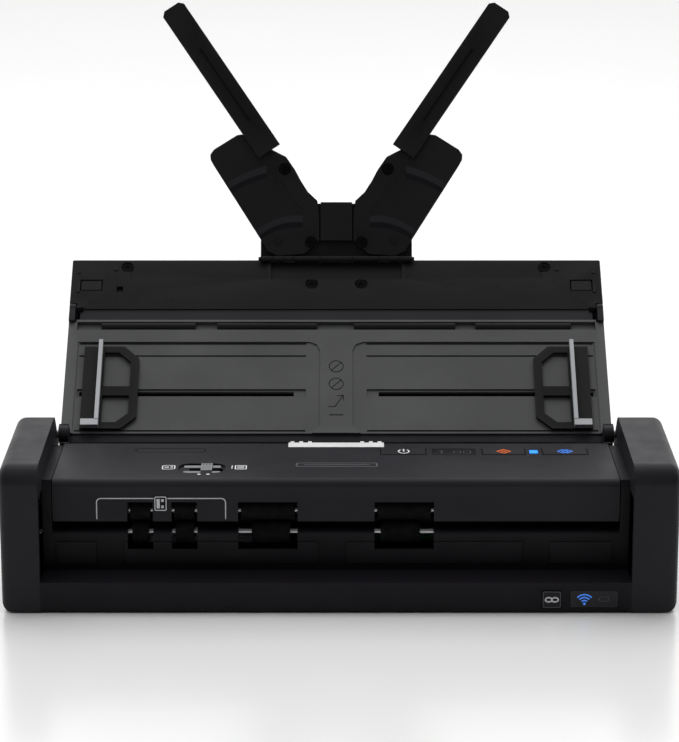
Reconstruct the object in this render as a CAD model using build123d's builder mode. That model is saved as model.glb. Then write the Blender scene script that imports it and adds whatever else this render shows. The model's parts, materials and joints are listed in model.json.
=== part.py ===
from build123d import *
from math import cos, pi, radians, sin
import os

# Sheet fed document scanner, millimetres. X right, Y back, Z up, resting on Z = 0.
WIDTH, DEPTH = 288.0, 88.5          # outside width and depth
XL, XR = -127.3, 124.3              # inner faces of the end caps
XC = -1.5                           # centre of the paper path
FOOT = 1.2                          # ground clearance of the shell
LEDGE = 13.75                       # top of the front ledge
WALL = 17.0                         # front wall, measured back from the front face
LIP, ENTRY = 31.0, 45.5             # paper path height at the exit and the entry
TOP = 54.0                          # top of the upper cover
PIVOT_Y, PIVOT_Z = 83.5, 55.0       # axis of the input tray
TRAY_TILT, SUPPORT_TILT = 38.5, 69.0
TRAY_W = 125.0                      # half width of the tray
FOLD_S, FOLD_H = 75.0, -5.0         # axis of the flap, along and above the tray
FLAP_END = 104.0
ARM_TILT = 34.0                     # arms lean this far from upright
ARM_PIVOT = (27.7, 9.0)
BLADE_END = 124.0                    # reach of a blade along its arm
EXIT_Y, EXIT_Z = 22.0, 29.7
PINCH_Z = 39.4                       # pinch rollers and upper cover share this axis over the exit
FEED_Y, FEED_Z = 62.0, 34.9
LETTER = 108.0                      # half the widest sheet
RACK_S, PITCH, TEETH = 26.5, pi, 13
PITCH_R = TEETH / 2                 # pinion of module 1 between the two guide racks
RACK_H = (-9.2, -7.9)


def back(y):
    """Distance back from the front face, as a Y coordinate."""
    return y - DEPTH / 2


def side(points, x0, x1, mode=Mode.ADD):
    """Extrudes a side profile given as (back from the front, height)."""
    with BuildSketch(Plane((x0, 0, 0), x_dir=(0, 1, 0), z_dir=(1, 0, 0))) as outline:
        Polygon([(back(y), z) for y, z in points], align=None)
    extrude(outline.sketch, amount=x1 - x0, mode=mode)


def block(x0, x1, y0, y1, z0, z1, mode=Mode.ADD):
    side([(y0, z0), (y1, z0), (y1, z1), (y0, z1)], x0, x1, mode)


def rod(x0, x1, y, z, r, mode=Mode.ADD):
    with BuildSketch(Plane((x0, back(y), z), x_dir=(0, 1, 0), z_dir=(1, 0, 0))) as circle:
        Circle(r)
    extrude(circle.sketch, amount=x1 - x0, mode=mode)


def tilted(y, z, tilt):
    """A plane hinged on an X axis, local Y running up it at the tilt."""
    t = radians(tilt)
    return Plane((XC, back(y), z), x_dir=(1, 0, 0), z_dir=(0, -sin(t), cos(t)))


def plate(plane, points, h0, h1, mode=Mode.ADD):
    with BuildSketch(plane.offset(h0)) as outline:
        Polygon(points, align=None)
    extrude(outline.sketch, amount=h1 - h0, mode=mode)


def slab(plane, x0, x1, y0, y1, h0, h1, mode=Mode.ADD):
    plate(plane, [(x0, y0), (x1, y0), (x1, y1), (x0, y1)], h0, h1, mode)


def disc(plane, x, y, r, h0, h1, mode=Mode.ADD):
    with BuildSketch(plane.offset(h0)) as circle:
        with Locations((x, y)):
            Circle(r)
    extrude(circle.sketch, amount=h1 - h0, mode=mode)


def cross_rod(plane, x0, x1, y, h, r, mode=Mode.ADD):
    """A rod along X at (y, h) of a tilted plane."""
    o = plane.from_local_coords((x0, y, h))
    with BuildSketch(Plane(o, x_dir=plane.y_dir, z_dir=(1, 0, 0))) as circle:
        Circle(r)
    extrude(circle.sketch, amount=x1 - x0, mode=mode)


def screw(plane, x, y, r, h0, h1):
    disc(plane, x, y, r, h0, h1)
    slab(plane, x - r * 0.55, x + r * 0.55, y - 0.3, y + 0.3, h1 - 0.5, h1, Mode.SUBTRACT)
    slab(plane, x - 0.3, x + 0.3, y - r * 0.55, y + r * 0.55, h1 - 0.5, h1, Mode.SUBTRACT)


def teeth(points_at, count):
    """Adds one tapered tooth at each place returned by points_at."""
    for i in range(count):
        plate(TRAY, points_at(i), RACK_H[0], RACK_H[1])


def flip(points, sign):
    return [(sign * x, y) for x, y in points]


TRAY = tilted(PIVOT_Y, PIVOT_Z, TRAY_TILT)
_t = radians(TRAY_TILT)
_a = (FLAP_END * cos(_t) + 3.0 * sin(_t), FLAP_END * sin(_t) - 3.0 * cos(_t))
SUPPORT = tilted(PIVOT_Y + _a[0], PIVOT_Z + _a[1], SUPPORT_TILT)
GUIDE_TILT = 12.96
GUIDE = tilted(WALL, LIP, GUIDE_TILT)


def path(y):
    """Height of the lower paper path at a distance back."""
    return LIP + (y - WALL) * (ENTRY - LIP) / (80 - WALL)


SMALL_WINDOWS = [(-91.0, -80.0), (-72.0, -61.0)]
BIG_WINDOWS = [(-43.5, -18.0), (15.0, 40.5)]

# ---- Lower housing -------------------------------------------------------------------------
with BuildPart() as base_housing:
    side([(0, FOOT), (88.5, FOOT), (88.5, 40), (86.5, 40), (86.5, 3.2), (2, 3.2), (2, 11.75),
          (16.8, 11.75), (16.8, LEDGE), (0, LEDGE)], XL, XR)
    block(86.0, 94.6, -1, 3, 2.2, 10.4, Mode.SUBTRACT)
    block(98.3, 118.4, -1, 3, 2.6, 10.0, Mode.SUBTRACT)
    block(60.0, 70.0, 86, 89, 9, 17, Mode.SUBTRACT)
    with BuildSketch(Plane.XZ.offset(-back(89))):
        with Locations((82, 13)):
            Circle(3.4)
    extrude(amount=3, mode=Mode.SUBTRACT)
    chamfer(base_housing.edges().filter_by(Axis.X).group_by(Axis.Z)[-1], 0.4)
base_housing.part.label = "base_housing"

with BuildPart() as rubber_feet:
    for x, y in [(-118, 8), (115, 8), (-118, 80), (115, 80), (0, DEPTH / 2)]:
        disc(Plane.XY, x, back(y), 5, 0, FOOT)
rubber_feet.part.label = "rubber_feet"


def cap_profile():
    """Side outline of an end cap with its rounded front brow."""
    Polygon([(back(0), 0.6), (back(88.5), 0.6), (back(88.5), 50), (back(75), 66.2),
             (back(0), 64.2)], align=None)


with BuildPart() as left_end_cap:
    with BuildSketch(Plane((-WIDTH / 2, 0, 0), x_dir=(0, 1, 0), z_dir=(1, 0, 0))) as s:
        cap_profile()
        fillet(s.vertices().sort_by(Axis.Y)[-1:] + s.vertices().sort_by(Axis.Y)[-2:-1], 8)
    extrude(amount=XL + WIDTH / 2)
    fillet(left_end_cap.faces().sort_by(Axis.X)[0].edges(), 4.5)
    block(-141.5, XL, 3.5, 81, 4, 50, Mode.SUBTRACT)
    rod(-134, XL, PIVOT_Y, PIVOT_Z, 2.05, Mode.SUBTRACT)
left_end_cap.part.label = "left_end_cap"

with BuildPart() as right_end_cap:
    with BuildSketch(Plane((XR, 0, 0), x_dir=(0, 1, 0), z_dir=(1, 0, 0))) as s:
        cap_profile()
        fillet(s.vertices().sort_by(Axis.Y)[-1:] + s.vertices().sort_by(Axis.Y)[-2:-1], 8)
    extrude(amount=WIDTH / 2 - XR)
    fillet(right_end_cap.faces().sort_by(Axis.X)[-1].edges(), 4.5)
    block(XR, 141.5, 3.5, 81, 4, 50, Mode.SUBTRACT)
    rod(XR, 131, PIVOT_Y, PIVOT_Z, 2.05, Mode.SUBTRACT)
right_end_cap.part.label = "right_end_cap"

SIDE_WALL = [(WALL, LEDGE), (86.3, LEDGE), (86.3, 40), (80, 41.5), (76, 52), (70, TOP - 0.3),
             (19, TOP - 0.3), (WALL, 51)]


def side_wall(x0, x1):
    """Wall beside the paper path with the bearings of both shafts and the cover pins."""
    side(SIDE_WALL, x0, x1)
    rod(x0, x1, EXIT_Y, EXIT_Z, 1.65, Mode.SUBTRACT)
    rod(x0, x1, FEED_Y, FEED_Z, 2.05, Mode.SUBTRACT)
    rod(x0, x1, EXIT_Y, PINCH_Z, 1.55, Mode.SUBTRACT)


with BuildPart() as left_side_wall:
    side_wall(XL, XL + 4.0)
left_side_wall.part.label = "left_side_wall"

with BuildPart() as right_side_wall:
    side_wall(XR - 4.0, XR)
right_side_wall.part.label = "right_side_wall"

GL, GR = XL + 4.0, XR - 4.0

with BuildPart() as lower_guide:
    side([(WALL, LEDGE), (WALL, 30.2), (17.25, 30.8), (17.8, 31.15), (80, ENTRY), (84.5, 43.5),
          (84.5, 41.5), (80, ENTRY - 2.2), (19, LIP - 1.7), (19, LEDGE)], GL, GR)
    for x0, x1 in SMALL_WINDOWS + BIG_WINDOWS:
        block(x0, x1, 16, 27.6, 23, 36, Mode.SUBTRACT)
    block(-22, 19, 52.5, 71.5, 36, 46, Mode.SUBTRACT)
    rod(GL, GR, EXIT_Y, EXIT_Z, 1.9, Mode.SUBTRACT)
    slab(GUIDE, -109.2, 109.2, 26, 34, -3, 1, Mode.SUBTRACT)
    for x0, x1 in [(-122, -104), (-93, -9), (2.5, 79), (90, 117.5)]:
        block(x0, x1, 16.6, WALL, 17.0, 17.5, Mode.SUBTRACT)
        block(x0, x1, WALL, 17.4, 16.0, 16.6, Mode.SUBTRACT)
        block(x0, x1, WALL, 17.4, 26.4, 27.0, Mode.SUBTRACT)
        block(x0, x0 + 0.6, WALL, 17.4, 16.0, 27.0, Mode.SUBTRACT)
        block(x1 - 0.6, x1, WALL, 17.4, 16.0, 27.0, Mode.SUBTRACT)
lower_guide.part.label = "lower_guide"

with BuildPart() as lower_scan_glass:
    slab(GUIDE, -109, 109, 26.2, 33.8, -1.9, -0.1)
lower_scan_glass.part.label = "lower_scan_glass"

with BuildPart() as lower_sensor_module:
    slab(GUIDE, -110, 110, 24, 36, -13, -2.8)
    slab(GUIDE, -106, 106, 27, 33, -2.8, -2.1)
lower_sensor_module.part.label = "lower_sensor_module"

with BuildPart() as main_board:
    block(-20, 110, 24, 82, 6, 7.6)
    for x, y, w, d, h in [(10, 40, 18, 18, 1.6), (40, 36, 12, 10, 1.4), (85, 50, 9, 7, 3.0),
                          (25, 66, 8, 12, 2.0)]:
        block(x, x + w, y, y + d, 7.6, 7.6 + h)
    for x in (-10, 100):
        block(x - 2, x + 2, 28, 32, 3.2, 6)
        block(x - 2, x + 2, 74, 78, 3.2, 6)
main_board.part.label = "main_board"

with BuildPart() as usb_socket:
    block(60.4, 69.6, 77, 87.5, 9.4, 16.6)
    block(61.2, 68.8, 79, 87.6, 10.2, 15.8, Mode.SUBTRACT)
    block(62.6, 67.4, 79, 86, 12.2, 13.6)
    block(63, 67, 78, 80, 7.7, 9.4)
usb_socket.part.label = "usb_socket"

with BuildPart() as dc_socket:
    with BuildSketch(Plane.XZ.offset(-back(88))):
        with Locations((82, 13)):
            Circle(3.3)
    extrude(amount=11)
    with BuildSketch(Plane.XZ.offset(-back(88.1))):
        with Locations((82, 13)):
            Circle(2.4)
            Circle(0.7, mode=Mode.SUBTRACT)
    extrude(amount=8, mode=Mode.SUBTRACT)
    block(80, 84, 78, 80, 7.7, 10)
dc_socket.part.label = "dc_socket"

with BuildPart() as battery_pack:
    block(-118, -28, 24, 58, 3.4, 19)
    fillet(battery_pack.edges().filter_by(Axis.X), 2)
battery_pack.part.label = "battery_pack"

# ---- Drive ---------------------------------------------------------------------------------
with BuildPart() as drive_motor:
    rod(-119, -92, 72.5, 22, 13)
    rod(-122.5, -119, 72.5, 22, 5)
    block(-119, -92, 60, 85, 3.3, 10)
drive_motor.part.label = "drive_motor"

with BuildPart() as drive_belt:
    side([(19, 26), (FEED_Y, 28), (FEED_Y, 41.8), (18.8, 36.4)], -136, -133)
    side([(20, 27.2), (FEED_Y, 29.2), (FEED_Y, 40.6), (20, 35.2)], -136.1, -132.9, Mode.SUBTRACT)
    rod(-136, -133, FEED_Y, FEED_Z, 7.6)
    rod(-136.1, -132.9, FEED_Y, FEED_Z, 6.6, Mode.SUBTRACT)
    rod(-136, -133, EXIT_Y, EXIT_Z, 6.4)
    rod(-136.1, -132.9, EXIT_Y, EXIT_Z, 5.4, Mode.SUBTRACT)
    side([(22, 27.2), (60, 29.2), (60, 40.4), (22, 34.6)], -136.1, -132.9, Mode.SUBTRACT)
drive_belt.part.label = "drive_belt"


def pulley(x0, x1, y, z, r, bore):
    rod(x0, x1, y, z, r)
    rod(x1, x1 + 0.8, y, z, r - 0.2)
    rod(x0 - 0.8, x0, y, z, r - 0.2)
    rod(x0 - 1, x1 + 1, y, z, bore, Mode.SUBTRACT)
    for a in range(0, 360, 24):
        rod(x0, x1, y + r * cos(radians(a)), z + r * sin(radians(a)), 0.45, Mode.SUBTRACT)


with BuildPart() as exit_shaft:
    rod(-138, XR - 0.5, EXIT_Y, EXIT_Z, 1.6)
exit_shaft.part.label = "exit_shaft"

with BuildPart() as exit_pulley:
    pulley(-136, -133, EXIT_Y, EXIT_Z, 4.9, 1.6)
exit_pulley.part.label = "exit_pulley"

with BuildPart() as exit_rollers:
    for x0, x1 in [(-37.7, -21.3), (17.8, 34.5), (-89, -82), (-70.5, -62.5)]:
        rod(x0, x1, EXIT_Y, EXIT_Z, 4.7)
        rod(x0, x1, EXIT_Y, EXIT_Z, 1.6, Mode.SUBTRACT)
exit_rollers.part.label = "exit_rollers"

with BuildPart() as feed_shaft:
    rod(-138, XR - 0.5, FEED_Y, FEED_Z, 2.0)
feed_shaft.part.label = "feed_shaft"

with BuildPart() as feed_pulley:
    pulley(-136, -133, FEED_Y, FEED_Z, 6.1, 2.0)
feed_pulley.part.label = "feed_pulley"

with BuildPart() as feed_roller:
    rod(-20.5, 17.5, FEED_Y, FEED_Z, 8.2)
    rod(-20.5, 17.5, FEED_Y, FEED_Z, 2.0, Mode.SUBTRACT)
    for a in range(0, 360, 12):
        rod(-20.5, 17.5, FEED_Y + 8.35 * cos(radians(a)), FEED_Z + 8.35 * sin(radians(a)), 0.4,
            Mode.SUBTRACT)
feed_roller.part.label = "feed_roller"

# ---- Upper cover ---------------------------------------------------------------------------
CL, CR = GL + 0.4, GR - 0.4
KEYS = {"power": (18.0, 38.4), "stop": (62.8, 82.3), "start": (89.4, 109.8)}
KEY_Y = (54.5, 64.3)

with BuildPart() as upper_cover:
    side([(WALL, 35.6), (WALL, 51.0), (17.3, 52.3), (18.0, 53.2), (19.0, 53.8), (20.2, TOP),
          (72, TOP), (73, 53), (73, 51.4), (58, 45.2)], CL, CR)
    side([(19, 38.2), (19, 52), (67, 52), (67, 50.9), (58, 47.2)], CL + 2, CR - 2, Mode.SUBTRACT)
    for x0, x1 in SMALL_WINDOWS + BIG_WINDOWS:
        block(x0, x1, 16, 27.5, 30, 44.2, Mode.SUBTRACT)
    for x in (CL + 2, -94, -59.4, -47, -14.4, 11.4, 44.2, CR - 6):
        block(x, x + 3.4, 18.9, 34, 42.2, 49.6)
    for x in (-94, -59.4, -47, -14.4, 11.4, 44.2):
        block(x, x + 3.4, 18.9, 27, 38, 42.2)
    rod(-94.5, 48, EXIT_Y, PINCH_Z, 1.55, Mode.SUBTRACT)
    rod(CL, CL + 5, EXIT_Y, PINCH_Z, 1.5, Mode.SUBTRACT)
    rod(CR - 5, CR, EXIT_Y, PINCH_Z, 1.5, Mode.SUBTRACT)
    for x0, x1 in KEYS.values():
        block(x0, x1, KEY_Y[0], KEY_Y[1], 51, 55, Mode.SUBTRACT)
    block(41.1, 60.1, KEY_Y[0], KEY_Y[1], 53.2, 55, Mode.SUBTRACT)
    block(83.9, 87.9, 57, 62, 51, 55, Mode.SUBTRACT)
    with BuildSketch(Plane.XY.offset(53.1)) as switch_pocket:
        with Locations((-59.65, back(34.85))):
            RectangleRounded(20.3, 13.7, 5.0)
    extrude(switch_pocket.sketch, amount=1, mode=Mode.SUBTRACT)
    block(-65.0, -50.5, 33, 37, 51, 55, Mode.SUBTRACT)
    with BuildSketch(Plane.XY.offset(53.6)) as finger_mark:
        with Locations((-74.75, back(61.5))):
            RectangleRounded(31.5, 6.0, 2.9)
            RectangleRounded(30.5, 5.0, 2.4, mode=Mode.SUBTRACT)
    extrude(finger_mark.sketch, amount=1, mode=Mode.SUBTRACT)
    block(-23.0, 20.0, 66, 74, 52.6, 55, Mode.SUBTRACT)
upper_cover.part.label = "upper_cover"

with BuildPart() as cover_pins:
    for x0, x1 in [(XL + 1, CL + 4.5), (CR - 4.5, XR - 1)]:
        rod(x0, x1, EXIT_Y, PINCH_Z, 1.5)
cover_pins.part.label = "cover_pins"

with BuildPart() as feed_comb:
    block(-22.8, 19.8, 66.2, 73, 52.6, 54.2)
    for i in (0, 1, 2, 8, 9, 10):
        block(-21.9 + 3.9 * i, -20.2 + 3.9 * i, 73, 76, 52.9, 53.9)
feed_comb.part.label = "feed_comb"

with BuildPart() as pinch_shaft:
    rod(-92.5, 47.0, EXIT_Y, PINCH_Z, 1.5)
pinch_shaft.part.label = "pinch_shaft"

with BuildPart() as pinch_rollers:
    for x0, x1 in SMALL_WINDOWS + BIG_WINDOWS:
        rod(x0 + 1.2, x1 - 1.2, EXIT_Y, PINCH_Z, 4.3)
        rod(x0 + 1.2, x1 - 1.2, EXIT_Y, PINCH_Z, 1.5, Mode.SUBTRACT)
pinch_rollers.part.label = "pinch_rollers"

with BuildPart() as upper_sensor_module:
    side([(38, 43.0), (50, 45.8), (50, 50.2), (38, 50.2)], -110, 107)
upper_sensor_module.part.label = "upper_sensor_module"


def key(x0, x1):
    """A key cap with its wider retaining flange below the cover."""
    block(x0 + 0.3, x1 - 0.3, KEY_Y[0] + 0.3, KEY_Y[1] - 0.3, 51.9, TOP + 0.3)
    block(x0 - 0.8, x1 + 0.8, KEY_Y[0] - 0.8, KEY_Y[1] + 0.8, 51.1, 51.9)


with BuildPart() as power_button:
    key(*KEYS["power"])
    chamfer(power_button.faces().sort_by(Axis.Z)[-1].edges(), 0.3)
power_button.part.label = "power_button"

with BuildPart() as stop_button:
    key(*KEYS["stop"])
    chamfer(stop_button.faces().sort_by(Axis.Z)[-1].edges(), 0.3)
stop_button.part.label = "stop_button"

with BuildPart() as start_button:
    key(*KEYS["start"])
    chamfer(start_button.faces().sort_by(Axis.Z)[-1].edges(), 0.3)
start_button.part.label = "start_button"

with BuildPart() as status_lens:
    block(41.3, 59.9, KEY_Y[0] + 0.2, KEY_Y[1] - 0.2, 53.2, TOP)
status_lens.part.label = "status_lens"

with BuildPart() as light_bar:
    block(84.1, 87.7, 57.2, 61.8, 52.0, TOP)
light_bar.part.label = "light_bar"

with BuildPart() as mode_switch:
    block(-60.0, -55.2, 30, 40, 53.2, 54.6)
    block(-59.2, -56.0, 33.2, 36.8, 51.2, 53.2)
    block(-61.0, -54.2, 31.5, 38.5, 50.6, 51.6)
    for x in (-59.2, -57.9, -56.6):
        block(x, x + 0.6, 30.6, 39.4, 54.3, 54.7, Mode.SUBTRACT)
mode_switch.part.label = "mode_switch"

with BuildPart() as connect_button:
    block(86.3, 94.3, -0.4, 2.1, 2.5, 10.1)
    block(85.4, 95.2, 2.1, 3.1, 3.3, 11.0)
connect_button.part.label = "connect_button"

with BuildPart() as indicator_window:
    block(98.4, 118.3, 0.2, 2.0, 2.7, 9.9)
indicator_window.part.label = "indicator_window"

# ---- Input tray ----------------------------------------------------------------------------
T_END = 68.6
FLAP_EARS = [(-126, -121.8), (121.8, 126)]
PIN_START = 118.9                    # inner end of the pins of the flap

with BuildPart() as tray_panel:
    slab(TRAY, -TRAY_W, TRAY_W, 4, T_END, -7.5, -4.5)
    for sign in (-1, 1):
        plate(TRAY, flip([(11, 4), (120, 4), (120, 55.7), (12.5, 55.7), (9, 54.2), (7.5, 50.7),
                          (7.5, 8)], sign), -5.1, -4.5, Mode.SUBTRACT)
        for s0, s1 in [(54.3, 55.7), (47.4, 48.3), (24.3, 28.9), (5.0, 5.9)]:
            slab(TRAY, *sorted((sign * 14, sign * 119)), s0, s1, -5.9, -4.5, Mode.SUBTRACT)
        slab(TRAY, *sorted((sign * 19.5, sign * 118)), 25.4, 27.8, -8, -4, Mode.SUBTRACT)
    slab(TRAY, -121, 121, 62.8, 67.4, -6.5, -4.5, Mode.SUBTRACT)
    for x0, x1 in FLAP_EARS:
        slab(TRAY, x0 - 0.3, x1 + 0.3, T_END - 1.6, T_END + 1, -8, -4, Mode.SUBTRACT)
tray_panel.part.label = "tray_panel"

with BuildPart() as hinge_covers:
    for x0, x1 in [(-109.5, -65.7), (-55.5, -9), (8.3, 55.5), (65, 109.5)]:
        cross_rod(TRAY, x0, x1, 65.2, -5.6, 1.9)
        slab(TRAY, x0 - 1, x1 + 1, 63, 67.4, -8, -6.5, Mode.SUBTRACT)
hinge_covers.part.label = "hinge_covers"

with BuildPart() as tray_cover:
    slab(TRAY, -TRAY_W, TRAY_W, 0, 82, -12, -11.2)
    slab(TRAY, -TRAY_W, TRAY_W, 0, T_END, -11.2, -7.5)
    slab(TRAY, -TRAY_W, TRAY_W, 0, 3.9, -7.5, -6)
    slab(TRAY, -120, 120, 14, 40, -10.6, -7.5, Mode.SUBTRACT)
    disc(TRAY, 0, RACK_S, 1.5, -10.7, -7.6)
    for sign in (-1, 1):
        slab(TRAY, *sorted((sign * 120.5, sign * TRAY_W)), -3, 3.9, -9, 2.6)
    for x in (-125, 120.5):
        cross_rod(TRAY, x, x + 4.5, 0, 0, 4.0)
        cross_rod(TRAY, x - 1, x + 5.5, 0, 0, 2.0, Mode.SUBTRACT)
    cross_rod(TRAY, -130, 130, FOLD_S, FOLD_H, 6.2, Mode.SUBTRACT)
    for x0, x1 in [(-TRAY_W, -122.2), (122.2, TRAY_W)]:
        slab(TRAY, x0, x1, T_END - 1.5, FOLD_S, -7.4, -2.6)
        slab(TRAY, x0, x1, T_END - 1.5, T_END, -8.5, -7.4)
        cross_rod(TRAY, x0, x1, FOLD_S, FOLD_H, 2.6)
    cross_rod(TRAY, -124.0, 124.0, FOLD_S, FOLD_H, 1.5, Mode.SUBTRACT)
tray_cover.part.label = "tray_cover"

with BuildPart() as flap_hinge_pins:
    for x0, x1 in [(-124.0, -PIN_START), (PIN_START, 124.0)]:
        cross_rod(TRAY, x0, x1, FOLD_S, FOLD_H, 1.5)
flap_hinge_pins.part.label = "flap_hinge_pins"

with BuildPart() as tray_hinge_pins:
    rod(-133.5, XC - 121, PIVOT_Y, PIVOT_Z, 2.0)
    rod(XC + 121, 130.5, PIVOT_Y, PIVOT_Z, 2.0)
tray_hinge_pins.part.label = "tray_hinge_pins"


def rack(sign):
    """Toothed bar under the tray; the left bar runs above the pinion and the right bar below."""
    up = -sign
    root = RACK_S + up * (PITCH_R + 0.7)
    tip = RACK_S + up * (PITCH_R - 0.5)
    outer = RACK_S + up * (PITCH_R + 2.6)
    slab(TRAY, *sorted((-sign * 16, sign * (LETTER - 2))), *sorted((root, outer)), *RACK_H)
    slab(TRAY, *sorted((sign * (LETTER - 9), sign * (LETTER - 1))),
         *sorted((RACK_S - up * 0.9, outer)), *RACK_H)
    start = 0.5 if sign < 0 else 0.0

    def tooth(i):
        x = sign * (i - 4 + start) * PITCH
        return [(x - 0.65, root), (x + 0.65, root), (x + 0.4, tip), (x - 0.4, tip)]

    teeth(tooth, 33)


def edge_guide(sign):
    """Sliding base with a D shaped opening, a cross bar and a foot into the tray."""
    inner, outer = LETTER, LETTER + 8.5
    plate(TRAY, flip([(inner - 17, 12), (inner - 10, 5.5), (outer, 5.5), (outer, 52),
                      (inner - 10, 52), (inner - 17, 45)], sign), -4.4, -3.2)
    plate(TRAY, flip([(inner - 13.2, 14), (inner - 7.5, 9), (inner - 1, 9), (inner - 1, 48.5),
                      (inner - 7.5, 48.5), (inner - 13.2, 43)], sign), -4.5, -3.1, Mode.SUBTRACT)
    slab(TRAY, *sorted((sign * (inner - 13.3), sign * inner)), 24, 29.2, -4.4, -3.2)
    slab(TRAY, *sorted((sign * (inner - 8), sign * (inner - 2))), 25.6, 27.6, -8.0, -4.4)
    rack(sign)


def paper_fence(sign):
    """Upright strip that lines up the sheets, with a block for the thumb."""
    slab(TRAY, *sorted((sign * LETTER, sign * (LETTER + 1.8))), 9, 54, -3.2, -0.2)
    slab(TRAY, *sorted((sign * LETTER, sign * (LETTER + 8))), 5.7, 9, -3.2, -0.4)


with BuildPart() as left_guide:
    edge_guide(-1)
left_guide.part.label = "left_guide"

with BuildPart() as right_guide:
    edge_guide(1)
right_guide.part.label = "right_guide"

with BuildPart() as left_fence:
    paper_fence(-1)
left_fence.part.label = "left_fence"

with BuildPart() as right_fence:
    paper_fence(1)
right_fence.part.label = "right_fence"

with BuildPart() as guide_pinion:
    disc(TRAY, 0, RACK_S, PITCH_R - 0.8, *RACK_H)
    for i in range(TEETH):
        t = radians(90 + 360 * i / TEETH)
        ends = [(5.6, -0.7), (7.0, -0.4), (7.0, 0.4), (5.6, 0.7)]
        plate(TRAY, [(r * cos(t) - w * sin(t), RACK_S + r * sin(t) + w * cos(t)) for r, w in ends],
              *RACK_H)
    disc(TRAY, 0, RACK_S, 1.55, -10, -7, Mode.SUBTRACT)
guide_pinion.part.label = "guide_pinion"


def pin_bores():
    """Bores in the ends of the flap for its two pins."""
    for x0, x1 in [(-126, 0.2 - PIN_START), (PIN_START - 0.2, 126)]:
        cross_rod(TRAY, x0, x1, FOLD_S, FOLD_H, 1.55, Mode.SUBTRACT)


with BuildPart() as flap_panel:
    slab(TRAY, -125.3, 125.3, FOLD_S, FLAP_END, -6.5, -4.5)
    slab(TRAY, -31, 31, 92.9, FLAP_END + 1, -5.7, -4.5, Mode.SUBTRACT)
    for x0, x1 in [(-30, -25), (-20, -8), (8, 20), (25, 30)]:
        slab(TRAY, x0, x1, 103.1, FLAP_END, -5.8, -3.0)
        cross_rod(TRAY, x0, x1, FLAP_END, -3.0, 1.35)
    cross_rod(TRAY, -40, 40, FLAP_END, -3.0, 0.9, Mode.SUBTRACT)
    pin_bores()
    for x0, x1 in FLAP_EARS:
        slab(TRAY, x0, x1, FOLD_S - 8, 78.5, -12, 0, Mode.SUBTRACT)
    slab(TRAY, -97.5, -33, 93.5, FLAP_END + 1, -5.0, -4.5, Mode.SUBTRACT)
    slab(TRAY, 33, 97.5, 93.5, FLAP_END + 1, -5.0, -4.5, Mode.SUBTRACT)
    slab(TRAY, -103.7, -100.7, 85.4, 88.4, -6, -4.5, Mode.SUBTRACT)
    for x, y in [(-99.1, 100.2), (98.6, 100.2), (-11.6, 90.2), (11.7, 90.2)]:
        disc(TRAY, x, y, 3.0, -5.6, -4.5, Mode.SUBTRACT)
    for sign in (-1, 1):
        slab(TRAY, *sorted((sign * 110.4, sign * 121)), 86.0, 92.6, -6, -4.5, Mode.SUBTRACT)
flap_panel.part.label = "flap_panel"

with BuildPart() as flap_cover:
    slab(TRAY, -125.3, 125.3, FOLD_S, FLAP_END, -11, -6.5)
    slab(TRAY, -125.3, 125.3, FLAP_END, FLAP_END + 3, -11, -7.8)
    cross_rod(TRAY, -120, 120, FOLD_S, FOLD_H, 6.0)
    slab(TRAY, -121, 121, FOLD_S - 7, FOLD_S + 7, -5, 2, Mode.SUBTRACT)
    slab(TRAY, -121, 121, FOLD_S, FOLD_S + 7, -6.5, 2, Mode.SUBTRACT)
    pin_bores()
    for x0, x1 in FLAP_EARS:
        slab(TRAY, x0, x1, FOLD_S - 8, 78.5, -12, 0, Mode.SUBTRACT)
flap_cover.part.label = "flap_cover"

with BuildPart() as flap_screws:
    for x, y in [(-99.1, 100.2), (98.6, 100.2), (-11.6, 90.2), (11.7, 90.2)]:
        screw(TRAY, x, y, 2.7, -5.6, -4.8)
flap_screws.part.label = "flap_screws"

with BuildPart() as support_hinge_rod:
    cross_rod(TRAY, -37, 37, FLAP_END, -3.0, 0.9)
support_hinge_rod.part.label = "support_hinge_rod"

with BuildPart() as latch_tabs:
    for sign in (-1, 1):
        slab(TRAY, *sorted((sign * 111, sign * 120.4)), 86.6, 92, -6, -4.7)
latch_tabs.part.label = "latch_tabs"

# ---- Paper support -------------------------------------------------------------------------
ARM_SCREWS = [(12.0, 8.0), (24.6, 43.4)]

with BuildPart() as support_base:
    slab(SUPPORT, -36, 36, 1.0, 27.0, -4.4, -2.5)
    slab(SUPPORT, -7.5, 7.5, 9.0, 27.4, -2.5, -0.6)
    for sign in (-1, 1):
        disc(SUPPORT, sign * ARM_PIVOT[0], ARM_PIVOT[1], 2.0, -2.5, -0.4)
    for x0, x1 in [(-36, -30.4), (-24.6, -20.4), (-7.6, 7.6), (20.4, 24.6), (30.4, 36)]:
        slab(SUPPORT, x0, x1, 0, 1.0, -4.4, 0)
        cross_rod(SUPPORT, x0, x1, 0, 0, 1.35)
    cross_rod(SUPPORT, -40, 40, 0, 0, 0.95, Mode.SUBTRACT)
support_base.part.label = "support_base"


def arm_plate(sign):
    """Lower half of an arm with its inner web and recesses for two screws."""
    plate(SUPPORT, flip([(33.0, 4.0), (33.9, 6.2), (58.4, 45.0), (60.0, 47.9), (60.2, 50.3),
                         (58.5, 52.8), (47.5, 59.8), (45.0, 60.2), (40, 57.6), (24, 49.3),
                         (19.7, 43), (16.8, 37.5), (13.5, 32.3), (9, 28), (8.2, 21), (8.2, 9),
                         (15.5, 2.5), (27.7, 1.6)], sign), -2.2, -0.6)
    disc(SUPPORT, sign * ARM_PIVOT[0], ARM_PIVOT[1], 2.05, -3, 0, Mode.SUBTRACT)
    for x, y in ARM_SCREWS:
        disc(SUPPORT, sign * x, y, 2.9, -1.5, 0, Mode.SUBTRACT)


with BuildPart() as left_arm:
    arm_plate(-1)
left_arm.part.label = "left_arm"

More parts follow.
